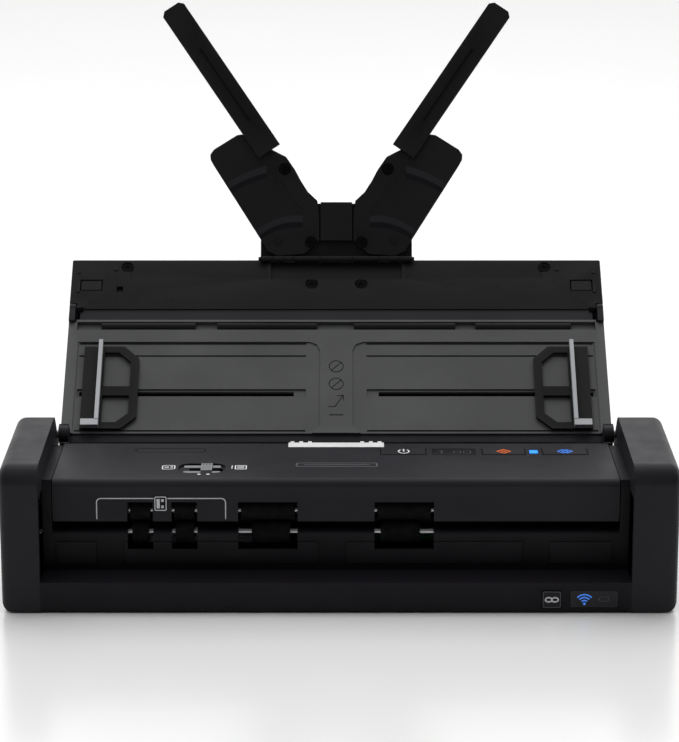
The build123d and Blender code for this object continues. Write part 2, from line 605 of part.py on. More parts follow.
with BuildPart() as right_arm:
    arm_plate(1)
right_arm.part.label = "right_arm"

with BuildPart() as left_arm_screws:
    for x, y in ARM_SCREWS:
        screw(SUPPORT, -x, y, 2.6, -1.5, -0.8)
left_arm_screws.part.label = "left_arm_screws"

with BuildPart() as right_arm_screws:
    for x, y in ARM_SCREWS:
        screw(SUPPORT, x, y, 2.6, -1.5, -0.8)
right_arm_screws.part.label = "right_arm_screws"


def along(distance, across, sign):
    """A point beside the centre line of an arm's slider."""
    t = radians(ARM_TILT)
    x = 79.2 - (BLADE_END - distance) * sin(t) + across * cos(t)
    y = 121.9 - (BLADE_END - distance) * cos(t) - across * sin(t)
    return (sign * x, y)


def arm_slider(sign):
    """Telescopic blade in front of the arm, with its long groove."""
    plate(SUPPORT, [along(d, c, sign) for d, c in
                    [(39.5, -6), (39.5, 6), (122, 6), (BLADE_END, 4), (BLADE_END, -4), (122, -6)]],
          -0.4, 1.0)
    plate(SUPPORT, [along(d, c, sign) for d, c in
                    [(57, -0.7), (57, 0.7), (99, 0.7), (99, -0.7)]], 0.3, 1.1, Mode.SUBTRACT)


with BuildPart() as left_slider:
    arm_slider(-1)
left_slider.part.label = "left_slider"

with BuildPart() as right_slider:
    arm_slider(1)
right_slider.part.label = "right_slider"

NODES = [base_housing, rubber_feet, left_end_cap, right_end_cap, left_side_wall, right_side_wall,
         lower_guide, lower_scan_glass, lower_sensor_module, main_board, usb_socket, dc_socket,
         battery_pack, drive_motor, drive_belt, exit_shaft, exit_pulley, exit_rollers, feed_shaft,
         feed_pulley, feed_roller, upper_cover, cover_pins, feed_comb, pinch_shaft, pinch_rollers,
         upper_sensor_module, power_button, stop_button, start_button, status_lens, light_bar,
         mode_switch, connect_button, indicator_window, tray_panel, hinge_covers, tray_cover,
         tray_hinge_pins, flap_hinge_pins, left_guide, left_fence, right_guide, right_fence,
         guide_pinion, flap_panel, flap_cover, flap_screws, support_hinge_rod, latch_tabs,
         support_base, left_arm, right_arm, left_arm_screws, right_arm_screws, left_slider,
         right_slider]

os.makedirs("parts", exist_ok=True)
for node in NODES:
    export_step(node.part, f"parts/{node.part.label}.step")
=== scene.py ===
"""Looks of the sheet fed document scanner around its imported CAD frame."""

import json
from math import cos, radians, sin

import bmesh
import bpy
from mathutils import Euler, Matrix, Vector


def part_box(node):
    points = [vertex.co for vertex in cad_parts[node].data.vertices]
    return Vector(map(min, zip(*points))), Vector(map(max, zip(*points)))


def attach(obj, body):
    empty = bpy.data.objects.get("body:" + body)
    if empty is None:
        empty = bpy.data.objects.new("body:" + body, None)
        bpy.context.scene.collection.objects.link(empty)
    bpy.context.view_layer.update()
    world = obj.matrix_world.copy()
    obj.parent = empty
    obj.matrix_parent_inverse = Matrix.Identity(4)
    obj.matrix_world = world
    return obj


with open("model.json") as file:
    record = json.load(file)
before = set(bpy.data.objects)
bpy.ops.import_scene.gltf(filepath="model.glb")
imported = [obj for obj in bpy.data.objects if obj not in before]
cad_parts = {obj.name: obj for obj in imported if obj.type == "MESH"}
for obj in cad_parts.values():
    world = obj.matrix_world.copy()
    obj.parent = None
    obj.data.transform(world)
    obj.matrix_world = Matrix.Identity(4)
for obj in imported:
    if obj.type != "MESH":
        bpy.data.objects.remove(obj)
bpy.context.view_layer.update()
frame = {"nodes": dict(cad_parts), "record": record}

MM = 0.001
INK = 0.06 * MM                      # thickness of printed marks
SPECULAR = 0.16                      # weak gloss of textured black plastic
LONGEST_MITRE = 0.4                  # least cosine a corner of a line is mitred with
JOINTS = {j["name"]: j for j in frame["record"]["behaviour"]["joints"]}


# ---- Node materials ------------------------------------------------------------------------
def node(tree, kind, inputs=None, **settings):
    made = tree.nodes.new(kind)
    for key, value in settings.items():
        setattr(made, key, value)
    for key, value in (inputs or {}).items():
        if isinstance(value, bpy.types.NodeSocket):
            tree.links.new(value, made.inputs[key])
        else:
            made.inputs[key].default_value = value
    return made


def ramp(tree, factor, low, high, color_low, color_high):
    made = node(tree, "ShaderNodeValToRGB", {"Fac": factor})
    first, last = made.color_ramp.elements
    first.position, last.position = low, high
    first.color, last.color = color_low, color_high
    return made.outputs["Color"]


def grey(value):
    return (value, value, value, 1.0)


def new_material(name):
    made = bpy.data.materials.new(name)
    made.use_nodes = True
    made.node_tree.nodes.clear()
    return made, made.node_tree


def finish_material(tree, shader):
    out = node(tree, "ShaderNodeOutputMaterial")
    tree.links.new(shader.outputs["BSDF"], out.inputs["Surface"])


def plastic(name, color, rough, grain=0.35, bump=0.12, edge_highlight=0.25, sheen_spot=0.25, coat=0.0):
    """Moulded plastic: eroded grain, slow shade drift, a painted highlight on convex edges and
    faint hand marks.
    """
    made, tree = new_material(name)
    place = node(tree, "ShaderNodeTexCoord").outputs["Object"]
    fine = node(tree, "ShaderNodeTexNoise",
                {"Vector": place, "Scale": 1000 / grain, "Detail": 3.0, "Roughness": 0.6})
    slow = node(tree, "ShaderNodeTexNoise",
                {"Vector": place, "Scale": 22.0, "Detail": 4.0, "Roughness": 0.55})
    marks = node(tree, "ShaderNodeTexNoise",
                 {"Vector": place, "Scale": 60.0, "Detail": 8.0, "Roughness": 0.7})
    edge = node(tree, "ShaderNodeNewGeometry").outputs["Pointiness"]
    dark = [c * 0.9 for c in color] + [1.0]
    light = [min(1.0, c * 1.1) for c in color] + [1.0]
    shade = ramp(tree, slow.outputs["Fac"], 0.35, 0.65, dark, light)
    speck = node(tree, "ShaderNodeMix", {"Factor": 0.10, "A": shade}, data_type="RGBA",
                 blend_type="OVERLAY")
    tree.links.new(fine.outputs["Fac"], speck.inputs["B"])
    # Painted highlight: convex edges are mixed towards a lighter colour.
    edge_highlight_mask = ramp(tree, edge, 0.515, 0.60, grey(0.0), grey(edge_highlight))
    edge_highlight_color = [min(1.0, c * 1.6 + 0.012) for c in color] + [1.0]
    tint = node(tree, "ShaderNodeMix", {"Factor": edge_highlight_mask, "B": edge_highlight_color}, data_type="RGBA")
    tree.links.new(speck.outputs["Result"], tint.inputs["A"])
    gloss = ramp(tree, marks.outputs["Fac"], 0.35, 0.7, grey(rough - sheen_spot * 0.25),
                 grey(min(1.0, rough + sheen_spot * 0.25)))
    relief = node(tree, "ShaderNodeBump", {"Strength": bump, "Distance": 0.00004,
                                           "Height": fine.outputs["Fac"]})
    shader = node(tree, "ShaderNodeBsdfPrincipled",
                  {"Roughness": gloss, "IOR": 1.48, "Specular IOR Level": SPECULAR,
                   "Coat Weight": coat, "Coat Roughness": 0.08})
    tree.links.new(tint.outputs["Result"], shader.inputs["Base Color"])
    tree.links.new(relief.outputs["Normal"], shader.inputs["Normal"])
    finish_material(tree, shader)
    return made


def rubber(name, color):
    """Ground roller rubber with dust in its pores."""
    made, tree = new_material(name)
    place = node(tree, "ShaderNodeTexCoord").outputs["Object"]
    pores = node(tree, "ShaderNodeTexVoronoi", {"Vector": place, "Scale": 2600.0})
    dust = node(tree, "ShaderNodeTexNoise", {"Vector": place, "Scale": 260.0, "Detail": 6.0})
    shade = ramp(tree, dust.outputs["Fac"], 0.4, 0.75, color + [1.0],
                 [c * 1.9 + 0.003 for c in color] + [1.0])
    relief = node(tree, "ShaderNodeBump", {"Strength": 0.35, "Distance": 0.00008,
                                           "Height": pores.outputs["Distance"]})
    shader = node(tree, "ShaderNodeBsdfPrincipled", {"Base Color": shade, "Roughness": 0.78,
                                                     "Specular IOR Level": 0.15,
                                                     "Normal": relief.outputs["Normal"]})
    finish_material(tree, shader)
    return made


def metal(name, color, rough, streak=(30.0, 900.0, 900.0)):
    """Turned or drawn metal with streaks along its length and small dull spots."""
    made, tree = new_material(name)
    place = node(tree, "ShaderNodeTexCoord").outputs["Object"]
    stretch = node(tree, "ShaderNodeMapping", {"Vector": place, "Scale": streak})
    lines = node(tree, "ShaderNodeTexNoise", {"Vector": stretch.outputs["Vector"], "Scale": 3.0,
                                              "Detail": 4.0})
    spots = node(tree, "ShaderNodeTexNoise", {"Vector": place, "Scale": 180.0, "Detail": 5.0})
    shade = ramp(tree, spots.outputs["Fac"], 0.35, 0.7, color + [1.0],
                 [c * 0.72 for c in color] + [1.0])
    gloss = ramp(tree, lines.outputs["Fac"], 0.3, 0.7, grey(rough * 0.7), grey(rough * 1.4))
    relief = node(tree, "ShaderNodeBump", {"Strength": 0.15, "Distance": 0.00003,
                                           "Height": lines.outputs["Fac"]})
    shader = node(tree, "ShaderNodeBsdfPrincipled", {"Base Color": shade, "Metallic": 1.0,
                                                     "Roughness": gloss,
                                                     "Normal": relief.outputs["Normal"]})
    finish_material(tree, shader)
    return made


def ink(name, color, rough=0.45):
    """Pad printed ink, a little uneven in density."""
    made, tree = new_material(name)
    place = node(tree, "ShaderNodeTexCoord").outputs["Object"]
    blot = node(tree, "ShaderNodeTexNoise", {"Vector": place, "Scale": 1500.0, "Detail": 3.0})
    shade = ramp(tree, blot.outputs["Fac"], 0.3, 0.7, [c * 0.85 for c in color] + [1.0],
                 color + [1.0])
    shader = node(tree, "ShaderNodeBsdfPrincipled", {"Base Color": shade, "Roughness": rough})
    finish_material(tree, shader)
    return made


def emissive(name, color, power):
    """Glowing surface, brighter at its middle grain: a lit light guide, and the painted glow of
    printed key marks.
    """
    made, tree = new_material(name)
    place = node(tree, "ShaderNodeTexCoord").outputs["Object"]
    cloud = node(tree, "ShaderNodeTexNoise", {"Vector": place, "Scale": 700.0, "Detail": 2.0})
    shade = ramp(tree, cloud.outputs["Fac"], 0.2, 0.8, [c * 0.75 for c in color] + [1.0],
                 color + [1.0])
    shader = node(tree, "ShaderNodeBsdfPrincipled", {"Base Color": shade, "Roughness": 0.3,
                                                     "Emission Color": shade,
                                                     "Emission Strength": power})
    finish_material(tree, shader)
    return made


def scan_glass(name):
    made, tree = new_material(name)
    place = node(tree, "ShaderNodeTexCoord").outputs["Object"]
    smear = node(tree, "ShaderNodeTexNoise", {"Vector": place, "Scale": 90.0, "Detail": 7.0})
    gloss = ramp(tree, smear.outputs["Fac"], 0.4, 0.8, grey(0.03), grey(0.16))
    shader = node(tree, "ShaderNodeBsdfPrincipled", {"Base Color": (0.75, 0.82, 0.82, 1),
                                                     "Roughness": gloss, "IOR": 1.5,
                                                     "Transmission Weight": 0.85})
    finish_material(tree, shader)
    return made


MATERIALS = {
    "case_black": plastic("case_black", [0.0050, 0.0042, 0.0062], 0.42, bump=0.10),
    "case_grey": plastic("case_grey", [0.0150, 0.0140, 0.0172], 0.40, bump=0.14),
    "tray_grey": plastic("tray_grey", [0.074, 0.075, 0.076], 0.48, bump=0.12),
    "tray_dark": plastic("tray_dark", [0.0095, 0.0095, 0.0100], 0.45, bump=0.14),
    "gloss_black": plastic("gloss_black", [0.006, 0.006, 0.008], 0.16, bump=0.02, edge_highlight=0.1,
                           coat=0.3),
    "key_black": plastic("key_black", [0.013, 0.0125, 0.015], 0.38, bump=0.12),
    "trim_grey": plastic("trim_grey", [0.19, 0.195, 0.20], 0.40, bump=0.08, edge_highlight=0.1),
    "fence_grey": plastic("fence_grey", [0.38, 0.39, 0.405], 0.40, bump=0.08, edge_highlight=0.1),
    "comb_white": plastic("comb_white", [0.62, 0.62, 0.62], 0.5, bump=0.08, edge_highlight=0.05),
    "roller_rubber": rubber("roller_rubber", [0.0022, 0.0022, 0.0025]),
    "steel": metal("steel", [0.62, 0.62, 0.63], 0.28),
    "zinc_screw": metal("zinc_screw", [0.022, 0.022, 0.024], 0.5, (600.0, 600.0, 600.0)),
    "lens_smoke": plastic("lens_smoke", [0.005, 0.005, 0.008], 0.14, bump=0.02, edge_highlight=0.05,
                          coat=0.3),
    "light_blue": emissive("light_blue", [0.02, 0.20, 0.90], 1.6),
    "scan_glass": scan_glass("scan_glass"),
    "board_green": plastic("board_green", [0.012, 0.10, 0.035], 0.35, grain=1.2, bump=0.3),
    "socket_metal": metal("socket_metal", [0.65, 0.65, 0.64], 0.3),
    "motor_metal": metal("motor_metal", [0.35, 0.35, 0.36], 0.42),
    "battery_wrap": plastic("battery_wrap", [0.03, 0.035, 0.12], 0.25, bump=0.05, coat=0.3),
}
WHITE_INK = ink("white_ink", [0.70, 0.71, 0.73])
GREY_INK = ink("grey_ink", [0.085, 0.083, 0.092])
DIM_INK = ink("dim_ink", [0.038, 0.037, 0.041])
DARK_INK = ink("dark_ink", [0.0035, 0.0035, 0.004], 0.6)
# Painted glow: the stop key's printed orange mark emits light with no lamp behind it.
ORANGE_MARK_PAINTED_GLOW = emissive("orange_mark_painted_glow", [0.70, 0.13, 0.02], 0.25)
# Painted glow on the start key's printed blue marks; the radio arcs in the indicator window glow
# with it as well.
BLUE_MARK = emissive("blue_mark", [0.05, 0.22, 0.80], 0.55)

SLOT_OF = {part["node"]: part["material_slot"] for part in frame["record"]["subparts"]}
# Looks only: these three are darker in the photograph than their CAD slots are.
SLOT_OF.update(flap_hinge_pins="zinc_screw", support_hinge_rod="zinc_screw",
               latch_tabs="tray_dark")
for name, part in frame["nodes"].items():
    part.data.materials.clear()
    part.data.materials.append(MATERIALS[SLOT_OF[name]])


# ---- Printed marks and small fittings ------------------------------------------------------
class Face:
    """A flat place on the object: millimetre coordinates across and up it, height off it."""

    def __init__(self, origin, across, up, body, slot):
        self.origin, self.across, self.up = Vector(origin), Vector(across), Vector(up)
        self.normal = self.across.cross(self.up)
        self.body, self.slot = body, slot

    def at(self, x, y, h=0.0):
        return self.origin + (self.across * x + self.up * y) * MM + self.normal * h


def piece(name, mesh, face, material):
    made = bpy.data.objects.new(name, mesh)
    bpy.context.scene.collection.objects.link(made)
    mesh.materials.append(material)
    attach(made, face.body)
    return made


def prism(bm, face, outline, low, high):
    """Adds a closed prism over an outline of (x, y) points in millimetres."""
    bottom = [bm.verts.new(face.at(x, y, low)) for x, y in outline]
    top = [bm.verts.new(face.at(x, y, high)) for x, y in outline]
    bm.faces.new(list(reversed(bottom)))
    bm.faces.new(top)
    for i in range(len(outline)):
        j = (i + 1) % len(outline)
        bm.faces.new([bottom[i], bottom[j], top[j], top[i]])


def ring_points(x, y, radius, start=0.0, end=360.0, count=40):
    steps = count if end - start >= 360 else count + 1
    return [(x + radius * cos(radians(start + (end - start) * i / count)),
             y + radius * sin(radians(start + (end - start) * i / count))) for i in range(steps)]


def stroke(points, width):
    """Outline of an open line of the given width with mitred corners."""
    left, right = [], []
    for i, point in enumerate(points):
        here = Vector(point)
        before = (here - Vector(points[i - 1])).normalized() if i else None
        after = (Vector(points[i + 1]) - here).normalized() if i < len(points) - 1 else None
        along = ((before or after) + (after or before)).normalized()
        side = Vector((-along.y, along.x))
        nearest = before or after
        scale = width / 2 / max(LONGEST_MITRE, abs(side.dot(Vector((-nearest.y, nearest.x)))))
        left.append(tuple(here + side * scale))
        right.append(tuple(here - side * scale))
    return left + right[::-1]


def join_rows(bm, a, b):
    """The four side faces between two rows of four vertices."""
    for k in range(4):
        bm.faces.new([a[k], b[k], b[(k + 1) % 4], a[(k + 1) % 4]])


def strip(bm, face, points, width, low=0.0, high=INK):
    """A printed line, built segment by segment so that it stays closed and clean."""
    outline = stroke(points, width)
    count = len(points)
    rows = [[bm.verts.new(face.at(*outline[i], low)), bm.verts.new(face.at(*outline[i], high)),
             bm.verts.new(face.at(*outline[-1 - i], high)),
             bm.verts.new(face.at(*outline[-1 - i], low))] for i in range(count)]
    bm.faces.new(rows[0])
    bm.faces.new(rows[-1][::-1])
    for a, b in zip(rows, rows[1:]):
        join_rows(bm, a, b)


def loop_strip(bm, face, outer, inner, low=0.0, high=INK):
    """A closed printed band between two outlines of equal count."""
    rows = [[bm.verts.new(face.at(*a, low)), bm.verts.new(face.at(*a, high)),
             bm.verts.new(face.at(*b, high)), bm.verts.new(face.at(*b, low))]
            for a, b in zip(outer, inner)]
    for i in range(len(rows)):
        join_rows(bm, rows[i], rows[(i + 1) % len(rows)])


def drawn(name, face, material, draw):
    """Makes one piece from a function that fills a bmesh on a face."""
    bm = bmesh.new()
    draw(bm)
    bmesh.ops.recalc_face_normals(bm, faces=bm.faces)
    mesh = bpy.data.meshes.new(name)
    bm.to_mesh(mesh)
    bm.free()
    return piece(name, mesh, face, material)


def lettering(name, words, face, x, y, size, material):
    """Generic numerals printed on a face, centred on (x, y)."""
    text = bpy.data.curves.new(name, "FONT")
    text.body, text.size, text.extrude = words, size * MM, INK / 2
    text.align_x, text.align_y = "CENTER", "CENTER"
    made = bpy.data.objects.new(name, text)
    bpy.context.scene.collection.objects.link(made)
    turn = Matrix((face.across, face.up, face.normal)).transposed().to_4x4()
    made.matrix_world = Matrix.Translation(face.at(x, y, INK / 2)) @ turn
    text.materials.append(material)
    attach(made, face.body)
    return made


def rounded(x0, x1, y0, y1, r, steps=5):
    """Outline of a rounded rectangle."""
    corners = [(x1 - r, y1 - r, 0), (x0 + r, y1 - r, 90),
               (x0 + r, y0 + r, 180), (x1 - r, y0 + r, 270)]
    return [(cx + r * cos(radians(a + 90 * i / steps)), cy + r * sin(radians(a + 90 * i / steps)))
            for cx, cy, a in corners for i in range(steps + 1)]


def outline_box(bm, face, x0, x1, y0, y1, r, width, low=0.0, high=INK):
    """Printed outline of a rounded rectangle."""
    loop_strip(bm, face, rounded(x0, x1, y0, y1, r),
               rounded(x0 + width, x1 - width, y0 + width, y1 - width, max(0.05, r - width)),
               low, high)


def ring(bm, face, x, y, radius, width, low=0.0, high=INK):
    loop_strip(bm, face, ring_points(x, y, radius), ring_points(x, y, radius - width), low, high)


def bar(bm, face, x0, x1, y0, y1, low=0.0, high=INK):
    prism(bm, face, [(x0, y0), (x1, y0), (x1, y1), (x0, y1)], low, high)


def squashed(points, x, y, factor):
    """Scales an outline about (x, y) along the second coordinate."""
    return [(px, y + (py - y) * factor) for px, py in points]


DEPTH = 88.5                         # of the housing, front to back
POCKET_FLOOR = 53.1                  # height of the switch pocket
BLADE_LEAN = 34.0                    # degrees from upright, in the support's plane
BLADE_TIP = (79.2, 121.9)            # middle of a blade's end in that plane
BLADE_END = 124.0                    # the tip's distance along the blade
RIGHT, BACK, UP = (1, 0, 0), (0, 1, 0), (0, 0, 1)


def back(y):
    """Distance behind the front turned into the frame's coordinate."""
    return y - DEPTH / 2


KEY_ROW = back(59.0)                 # middle line of the keys and the status strip
cover_low, cover_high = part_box("upper_cover")
TOP_FACE = Face((0, 0, cover_high.z), RIGHT, BACK, "cover", "case_grey")
POCKET_FACE = Face((0, 0, POCKET_FLOOR * MM), RIGHT, BACK, "cover", "trim_grey")
BROW_FACE = Face((0, cover_low.y, 0), RIGHT, UP, "cover", "case_grey")
LENS_FACE = Face((0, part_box("indicator_window")[0].y, 0), RIGHT, UP, "chassis", "lens_smoke")
LINK_FACE = Face((0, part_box("connect_button")[0].y, 0), RIGHT, UP, "connect_key", "key_black")
KEY_FACES = {name: Face((0, 0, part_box(name + "_button")[1].z), RIGHT, BACK, name + "_key",
                        "key_black") for name in ("power", "stop", "start")}
STATUS_FACE = Face((0, 0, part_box("status_lens")[1].z), RIGHT, BACK, "cover", "gloss_black")

normal = Vector(JOINTS["pinion_turn"]["axis"])
PAPER_X = JOINTS["pinion_turn"]["pos_m"][0]
hinge = Vector(JOINTS["tray_close"]["pos_m"])
hinge.x = PAPER_X
UPHILL = normal.cross(Vector(RIGHT))
SURFACE = -4.5 * MM                  # the paper slides this far under the tray's axis
TRAY_FACE = Face(hinge + normal * SURFACE, RIGHT, UPHILL, "tray", "tray_grey")
FLAP_FACE = Face(hinge + normal * SURFACE, RIGHT, UPHILL, "flap", "tray_dark")
arm_normal = Vector(JOINTS["left_arm_swing"]["axis"])
arm_hinge = Vector(JOINTS["support_fold"]["pos_m"])
arm_hinge.x = PAPER_X
ARM_UP = arm_normal.cross(Vector(RIGHT))
ARM_FACES = {side: Face(arm_hinge - arm_normal * 0.6 * MM, RIGHT, ARM_UP, "arm_" + side,
                        "tray_dark") for side in ("left", "right")}
BLADE_FACES = {side: Face(arm_hinge + arm_normal * 1.0 * MM, RIGHT, ARM_UP, "blade_" + side,
                          "tray_dark") for side in ("left", "right")}
SIGN = {"left": -1, "right": 1}


def bracket_mark(bm):
    """Line on the brow that frames the card slot."""
    left, right, top, foot, corner = -104.0, -48.8, 45.9, 36.6, 1.8
    points = [(left, foot), (left, top - corner)]
    points += [(left + corner - corner * cos(radians(a)), top - corner + corner * sin(radians(a)))
               for a in range(10, 90, 10)]
    points += [(left + corner, top), (right - corner, top)]
    points += [(right - corner + corner * sin(radians(a)), top - corner + corner * cos(radians(a)))
               for a in range(10, 90, 10)]
    points += [(right, top - corner), (right, foot)]
    strip(bm, BROW_FACE, points, 0.42)


def card_ground(bm):
    prism(bm, BROW_FACE, rounded(-79.6, -73.6, 40.0, 47.2, 0.9), 0.0, 2 * INK)


def card_mark(bm):
    """A card with a chip and two dots."""
    low, high = 2 * INK, 3 * INK
    outline_box(bm, BROW_FACE, -79.2, -74.0, 40.4, 46.8, 0.7, 0.4, low, high)
    bar(bm, BROW_FACE, -78.3, -76.9, 41.5, 45.7, low, high)
    bar(bm, BROW_FACE, -76.3, -75.2, 44.4, 45.6, low, high)
    bar(bm, BROW_FACE, -76.3, -75.2, 41.6, 42.8, low, high)


drawn("card_bracket", BROW_FACE, WHITE_INK, bracket_mark)
drawn("card_ground", BROW_FACE, MATERIALS["case_black"], card_ground)
drawn("card_mark", BROW_FACE, WHITE_INK, card_mark)


def badge_mark(bm):
    """Blank badge outline in the middle of the cover."""
    outline_box(bm, TOP_FACE, -19.0, 16.6, back(36.6), back(42.6), 1.4, 0.7)
    bar(bm, TOP_FACE, -15.5, 13.1, back(39.2), back(40.0))


def switch_marks(bm):
    """A card at the left end of the switch and a stack of sheets at the right end."""
    y = back(35.9)
    outline_box(bm, TOP_FACE, -77.0, -71.2, y - 3.0, y + 3.0, 1.2, 0.5)
    ring(bm, TOP_FACE, -75.0, y, 1.0, 0.45)
    bar(bm, TOP_FACE, -73.4, -72.2, y - 1.3, y - 0.6)
    bar(bm, TOP_FACE, -73.4, -72.2, y + 0.6, y + 1.3)
    outline_box(bm, TOP_FACE, -45.4, -40.2, y - 3.0, y + 3.0, 0.7, 0.5)
    strip(bm, TOP_FACE, [(-46.6, y + 2.6), (-46.6, y - 2.0)], 0.4)
    for shift in (-1.4, 0.0, 1.4):
        bar(bm, TOP_FACE, -44.4, -41.3, y + shift - 0.3, y + shift + 0.3)
    for x in (-60.5, -56.6):
        prism(bm, TOP_FACE, ring_points(x, back(25.8), 0.75), 0.0, INK)


def switch_trim(bm):
    """Satin plates above and below the slot of the switch."""
    for y0, y1 in [(37.4, 40.6), (29.4, 32.4)]:
        prism(bm, POCKET_FACE, rounded(-67.6, -51.6, back(y0), back(y1), 1.0), 0.0, 0.3 * MM)


def power_mark(bm):
    face, y = KEY_FACES["power"], KEY_ROW
    loop = [(28.4 + 2.3 * sin(radians(a)), y + 2.9 * cos(radians(a))) for a in range(38, 330, 8)]
    strip(bm, face, loop, 0.62)
    bar(bm, face, 28.1, 28.7, y - 0.2, y + 3.5)


def status_marks(bm):
    """Unlit signs on the smoked strip between the keys."""
    y = KEY_ROW
    bar(bm, STATUS_FACE, 44.8, 45.4, y - 2.4, y + 2.4)
    bar(bm, STATUS_FACE, 44.0, 46.2, y + 1.2, y + 1.8)
    for x in (52.0, 56.4):
        outline_box(bm, STATUS_FACE, x - 1.7, x + 1.7, y - 2.0, y + 2.0, 0.5, 0.4)


def diamond(x, y, rx, ry):
    return [(x + rx, y), (x, y + ry), (x - rx, y), (x, y - ry)]


def stop_mark(bm):
    face, y = KEY_FACES["stop"], KEY_ROW
    loop_strip(bm, face, diamond(72.6, y, 3.4, 3.3), diamond(72.6, y, 2.5, 2.4))
    ring(bm, face, 72.6, y, 1.15, 0.45)


def start_mark(bm):
    face, y = KEY_FACES["start"], KEY_ROW
    for x in (98.8, 100.6):
        loop_strip(bm, face, diamond(x, y, 2.7, 3.0), diamond(x, y, 2.05, 2.3))


drawn("badge", TOP_FACE, GREY_INK, badge_mark)
drawn("switch_marks", TOP_FACE, WHITE_INK, switch_marks)
drawn("switch_trim", POCKET_FACE, MATERIALS["trim_grey"], switch_trim)
drawn("power_mark", KEY_FACES["power"], WHITE_INK, power_mark)
drawn("status_marks", STATUS_FACE, DIM_INK, status_marks)
drawn("stop_mark", KEY_FACES["stop"], ORANGE_MARK_PAINTED_GLOW, stop_mark)
# Painted glow: the start key's printed marks emit light.
drawn("start_mark", KEY_FACES["start"], BLUE_MARK, start_mark)


# ---- Front marks ---------------------------------------------------------------------------
def link_border(bm):
    outline_box(bm, LINK_FACE, 86.5, 94.1, 2.7, 9.9, 0.9, 0.28)


def link_mark(bm):
    """Two linked rings."""
    y = 6.3
    for x, low in ((89.0, 0.0), (91.6, INK)):
        loop_strip(bm, LINK_FACE, squashed(ring_points(x, y, 1.75), x, y, 0.72),
                   squashed(ring_points(x, y, 1.1), x, y, 0.6), low, low + INK)


def signal_mark(bm):
    """Radio arcs over a dot."""
    for radius in (1.5, 2.8, 4.1):
        strip(bm, LENS_FACE, [(104.2 + radius * sin(radians(a)), 4.3 + radius * cos(radians(a)))
                              for a in range(-48, 49, 8)], 0.6)
    prism(bm, LENS_FACE, ring_points(104.2, 4.3, 0.6), 0.0, INK)


def battery_mark(bm):
    outline_box(bm, LENS_FACE, 110.6, 114.6, 5.3, 7.5, 0.4, 0.35)
    bar(bm, LENS_FACE, 110.0, 110.6, 5.9, 6.9)


def window_border(bm):
    outline_box(bm, LENS_FACE, 98.5, 118.2, 2.8, 9.8, 0.8, 0.16)


drawn("link_border", LINK_FACE, GREY_INK, link_border)
drawn("link_mark", LINK_FACE, WHITE_INK, link_mark)
drawn("signal_mark", LENS_FACE, BLUE_MARK, signal_mark)
drawn("battery_mark", LENS_FACE, DIM_INK, battery_mark)
drawn("window_border", LENS_FACE, DIM_INK, window_border)


# ---- Tray and flap marks -------------------------------------------------------------------
def column_marks(bm):
    """Moulded signs down the middle of the tray: two turned sheets, an arrow and a line."""
    for y in (41.5, 31.5):
        ring(bm, TRAY_FACE, 0.0, y, 3.4, 0.4)
        strip(bm, TRAY_FACE, [(-2.3, y - 2.3), (2.3, y + 2.3)], 0.4)
    strip(bm, TRAY_FACE, [(-3.6, 18.6), (-0.6, 18.6), (3.2, 25.0)], 0.4)
    strip(bm, TRAY_FACE, [(0.4, 24.6), (3.2, 25.0), (3.4, 22.2)], 0.4)
    strip(bm, TRAY_FACE, [(-3.2, 14.0), (3.2, 14.0)], 0.5)


NUMERAL_HEIGHT = 4.2


def size_ticks(bm):
    """Lines that show where sheets of the usual widths end."""
    for width, foot, top in [(105, 77.8, 82.4), (148, 77.8, 82.4), (182, 77.8, 82.4),
                             (210, 77.8, 90.4), (216, 77.8, 84.6)]:
        bar(bm, FLAP_FACE, -width / 2 - 0.25, -width / 2 + 0.25, foot, top)
    for width, foot, top in [(105, 80.4, 86.2), (148, 80.4, 86.2), (182, 80.4, 86.2),
                             (210, 77.8, 90.4), (216, 77.8, 84.6)]:
        bar(bm, FLAP_FACE, width / 2 - 0.25, width / 2 + 0.25, foot, top)


drawn("column_marks", TRAY_FACE, DARK_INK, column_marks)
drawn("size_ticks", FLAP_FACE, DARK_INK, size_ticks)
for words, x, y in [("105", -57.6, 80.2), ("148", -79.1, 80.2), ("182", -96.1, 80.2),
                    ("210", -106.0, 93.6), ("216", -114.0, 80.2), ("105", 52.5, 89.4),
                    ("148", 74.0, 89.4), ("182", 91.0, 89.4), ("210", 105.0, 93.6),
                    ("216", 114.0, 80.2)]:
    lettering(f"size_{words}_{'left' if x < 0 else 'right'}", words, FLAP_FACE, x, y,
              NUMERAL_HEIGHT, DARK_INK)


def flap_pads(bm):
    """Small raised nubs and pillars beside the latches."""
    for sign in (-1, 1):
        for x, y, wide, tall in [(104.6, 99.4, 1.6, 2.6), (121.8, 88.0, 1.4, 6.0),
                                 (121.8, 97.5, 1.4, 2.0)]:
            bar(bm, FLAP_FACE, sign * x - wide / 2, sign * x + wide / 2, y - tall / 2, y + tall / 2,
                0.0, 0.35 * MM)


drawn("flap_pads", FLAP_FACE, MATERIALS["tray_dark"], flap_pads)


# ---- Arms ----------------------------------------------------------------------------------
def rib(bm, face, sign, inner, outer, low_height, high_height):
    """One arched bead: a sloping face between two arcs, closed underneath."""
    rows = []
    for (ax, ay), (bx, by) in zip(inner, outer):
        a, b = (sign * ax, ay), (sign * bx, by)
        rows.append([bm.verts.new(face.at(*a, 0.0)), bm.verts.new(face.at(*a, low_height)),
                     bm.verts.new(face.at(*b, high_height)), bm.verts.new(face.at(*b, 0.0))])
    bm.faces.new(rows[0])
    bm.faces.new(rows[-1][::-1])
    for a, b in zip(rows, rows[1:]):
        join_rows(bm, a, b)


def inside_plate(x, y):
    """Holds a rib's end back from the sloping outer edge of the arm's plate."""
    return (min(x, 33.9 + (y - 6.2) * 24.5 / 38.8 - 0.3), y)


